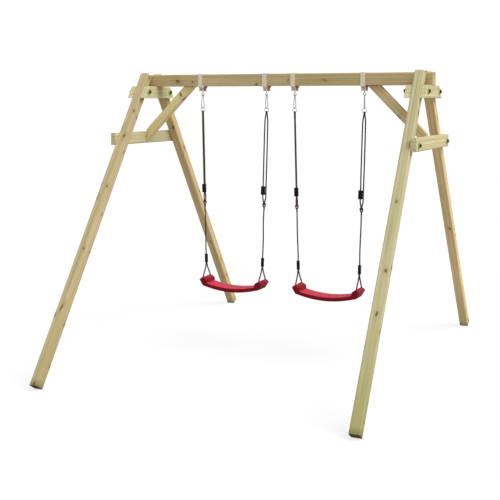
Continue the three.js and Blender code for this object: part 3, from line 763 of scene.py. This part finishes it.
def bolt_cap(name, place, out):
    """A hexagonal cap on a flat round flange, over a bolt's end."""
    flange = [(0, 0.0004), (0.0230, 0.0004), (0.0238, 0.0012), (0.0234, 0.0032), (0.0210, 0.0052),
              (0.0150, 0.0066), (0, 0.0068)]
    cap = [(0, 0.0055), (0.0150, 0.0055), (0.0146, 0.0120), (0.0128, 0.0158), (0.0088, 0.0180),
           (0, 0.0188)]
    carry(lathe(name + "_flange", flange, place, (out, 0, 0), FLANGE_GREEN), "frame", "bolt_metal")
    carry(lathe(name + "_cap", cap, place, (out, 0, 0), CAP_GREEN, 6, False), "frame",
          "bolt_metal")


BOARD_OUT = LEG_HALF + BOARD_GAP + BOARD_THICKNESS
for side_name, side in SIDES:
    for end, front in ENDS:
        name = f"{end}_{side_name}"
        y = front * leg_y(UPPER_BOLT_Z)
        for place, out in (("outer", side), ("inner", -side)):
            bolt_cap(f"{name}_upper_{place}_bolt",
                     (side * LEG_X + out * BOARD_OUT, y, UPPER_BOLT_Z), out)
        bolt_cap(f"{name}_lower_screw_head",
                 (side * (LEG_X + BOARD_OUT), front * leg_y(LOWER_BOLT_Z), LOWER_BOLT_Z), side)

# ---- Seats --------------------------------------------------------------------------------

SEAT_HALF_Y, SEAT_ROUNDING = 0.078, 0.009
SEAT_TOP, SEAT_UNDER, SEAT_CURVE = 0.496, 0.464, 0.625  # at the middle, and how it rises
BLOCK_X, BLOCK_FALL_X, SEAT_END_X = 0.205, 0.255, 0.2725
SCOOP_DEPTH, SCOOP_Y, SCOOP_HALF = 0.010, 0.058, 0.011  # the hollows in a block's inner side
SEAT_ROWS = 44
BLOCK_TOP = [(0.205, 0.5215), (0.2085, 0.530), (0.211, 0.545), (0.215, 0.5535), (0.222, 0.5585),
             (0.232, 0.5635), (0.245, 0.567), (0.252, 0.5665), (0.260, 0.562), (0.267, 0.5545),
             (0.2725, 0.548)]
UNDER_END = [(0.205, 0.4895), (0.215, 0.493), (0.232, 0.4965), (0.243, 0.500), (0.250, 0.509),
             (0.257, 0.521), (0.265, 0.534), (0.2725, 0.546)]


def along_profile(profile, x):
    """The height of a profile, given as (x, height) pairs, at a place."""
    for (x1, z1), (x2, z2) in zip(profile, profile[1:]):
        if x <= x2:
            t = (x - x1) / (x2 - x1)
            return z1 + (z2 - z1) * max(0.0, t)
    return profile[-1][1]


def seat_heights(x, y):
    """The top and underside of a seat at a place, without its rounded edges."""
    x, y = abs(x), abs(y)
    curve = SEAT_CURVE * x * x
    scoop = SCOOP_DEPTH * math.exp(-(((y - SCOOP_Y) / SCOOP_HALF) ** 4))
    inner = x - scoop * max(0.0, min(1.0, (0.245 - x) / 0.03))
    top = SEAT_TOP + curve if inner < BLOCK_X else along_profile(BLOCK_TOP, inner)
    under = SEAT_UNDER + curve if x < BLOCK_X else along_profile(UNDER_END, x)
    return top, min(under, top - 0.002)


def channel_cutter(x):
    """A bar that cuts the channel between the two rope holes of an end."""
    r, low, bevel = SEAT_HOLE_RADIUS, SEAT_CHANNEL_TOP - 0.06, 0.003
    section = [(x - r, low), (x + r, low), (x + r, SEAT_CHANNEL_TOP - bevel),
               (x + r - bevel, SEAT_CHANNEL_TOP), (x - r + bevel, SEAT_CHANNEL_TOP),
               (x - r, SEAT_CHANNEL_TOP - bevel)]
    verts = [(a, y, z) for y in (-SEAT_HOLE_Y, SEAT_HOLE_Y) for a, z in section]
    n = len(section)
    faces = [(k, (k + 1) % n, n + (k + 1) % n, n + k) for k in range(n)]
    return build("cutter", verts, [*faces, tuple(range(n)), tuple(range(n, 2 * n))], SEAT_RED)


def seat_stations():
    """Where along the seat its sections lie: closer together over the blocks."""
    half = [BLOCK_X * i / 24 for i in range(24)]
    half += [BLOCK_X + (BLOCK_FALL_X - BLOCK_X) * i / 22 for i in range(22)]
    half += [BLOCK_FALL_X + (SEAT_END_X - BLOCK_FALL_X) * i / 9 for i in range(10)]
    return sorted({round(side * x, 6) for x in half for side in (-1, 1)})


def seat_section(x0, x):
    """The seat's outline at a station, with rounded edges."""
    ys = [-SEAT_HALF_Y * math.cos(math.pi * j / SEAT_ROWS) for j in range(SEAT_ROWS + 1)]
    upper, lower = [], []
    for y in ys:
        top, under = seat_heights(x, y)
        edge = max(0.0, abs(y) - (SEAT_HALF_Y - SEAT_ROUNDING))
        drop = SEAT_ROUNDING - math.sqrt(max(0.0, SEAT_ROUNDING**2 - edge**2))
        drop = min(drop, (top - under) / 2)
        upper.append((x0 + x, y, top - drop))
        lower.append((x0 + x, y, under + drop))
    return upper + lower[::-1]


def cut_away(piece, cutters):
    """Cuts the cutters out of a piece and deletes them."""
    for cutter in cutters:
        cut = piece.modifiers.new("hole", "BOOLEAN")
        cut.object = cutter
        cut.operation = "DIFFERENCE"
        cut.solver = "MANIFOLD"
    evaluated = piece.evaluated_get(bpy.context.evaluated_depsgraph_get())
    mesh = bpy.data.meshes.new_from_object(evaluated)
    piece.modifiers.clear()
    piece.data = mesh
    for cutter in cutters:
        bpy.data.objects.remove(cutter)


def seat(name, x0, body):
    rows = [seat_section(x0, x) for x in seat_stations()]
    m = len(rows[0])
    verts = [v for row in rows for v in row]
    faces = []
    for i in range(len(rows) - 1):
        for k in range(m):
            beside = (k + 1) % m
            faces.append((i * m + k, (i + 1) * m + k, (i + 1) * m + beside, i * m + beside))
    faces.append(tuple(range(m)))
    faces.append(tuple(reversed(range((len(rows) - 1) * m, len(rows) * m))))
    piece = build(name + "_moulding", verts, faces, SEAT_RED)
    cutters = [channel_cutter(x0 + x) for x in (-SEAT_HOLE_X, SEAT_HOLE_X)]
    hole = [(0, -0.06), (SEAT_HOLE_RADIUS, -0.06), (SEAT_HOLE_RADIUS, 0.06), (0, 0.06)]
    for x in (-SEAT_HOLE_X, SEAT_HOLE_X):
        for y in (-SEAT_HOLE_Y, SEAT_HOLE_Y):
            cutters.append(lathe("cutter", hole, (x0 + x, y, 0.54), (0, 0, 1), SEAT_RED, 24))
    cut_away(piece, cutters)
    mesh = piece.data
    mesh.polygons.foreach_set("use_smooth", [True] * len(mesh.polygons))
    mesh.set_sharp_from_angle(angle=math.radians(38))
    carry(piece, body, "seat_plastic", name)


for swing, side in SIDES:
    seat(f"{swing}_seat", swing_x(side), f"{swing}_seat_body")

# ---- Floor and light ----------------------------------------------------------------------

FLOOR_HALF = 60.0
FLOOR_GLOW, FLOOR_GLOW_SEEN = 0.30, 0.46  # what it lights the room with, and more to the camera
BACKDROP_LIGHT, ROOM_LIGHT = 1.02, 0.62

floor_look = Nodes("floor_white")
floor_place = floor_look.add("ShaderNodeTexCoord").outputs["Object"]
floor_seen = floor_look.add("ShaderNodeLightPath")
floor_look.set(
    Base_Color=floor_look.mix(floor_look.noise(floor_place, 0.6, 2.0), srgb(118, 118, 118),
                              srgb(124, 124, 124)),
    Emission_Color=(1, 1, 1, 1),
    Emission_Strength=floor_look.math("MULTIPLY_ADD", floor_seen.outputs["Is Camera Ray"],
                                      FLOOR_GLOW_SEEN, FLOOR_GLOW),
    Roughness=0.9, Specular_IOR_Level=0.0)
floor_corners = [(x * FLOOR_HALF, y * FLOOR_HALF, 0)
                 for x, y in ((-1, -1), (1, -1), (1, 1), (-1, 1))]
floor = build("floor", floor_corners, [(0, 1, 2, 3)], floor_look.material, smooth=False)

world = bpy.data.worlds.new("studio")
bpy.context.scene.world = world
world.use_nodes = True
studio = world.node_tree
backdrop = studio.nodes["Background"]
backdrop.inputs["Color"].default_value = (1, 1, 1, 1)
backdrop.inputs["Strength"].default_value = BACKDROP_LIGHT
room = studio.nodes.new("ShaderNodeBackground")
room.inputs["Color"].default_value = (0.97, 0.985, 1, 1)
room.inputs["Strength"].default_value = ROOM_LIGHT
seen = studio.nodes.new("ShaderNodeLightPath")
either = studio.nodes.new("ShaderNodeMixShader")
studio.links.new(seen.outputs["Is Camera Ray"], either.inputs["Fac"])
studio.links.new(room.outputs["Background"], either.inputs[1])
studio.links.new(backdrop.outputs["Background"], either.inputs[2])
studio.links.new(either.outputs["Shader"], studio.nodes["World Output"].inputs["Surface"])


def sun(name, direction, spread, strength):
    """Soft white light from a wide part of the sky; direction points to where it comes from."""
    data = bpy.data.lights.new(name, "SUN")
    data.angle = math.radians(spread)
    data.energy = strength
    lamp = bpy.data.objects.new(name, data)
    bpy.context.collection.objects.link(lamp)
    lamp.rotation_euler = Vector(direction).to_track_quat("Z", "Y").to_euler()


sun("key_light", (0.62, -0.14, 0.75), 50, 3.2)
bpy.context.scene.view_settings.view_transform = "Standard"
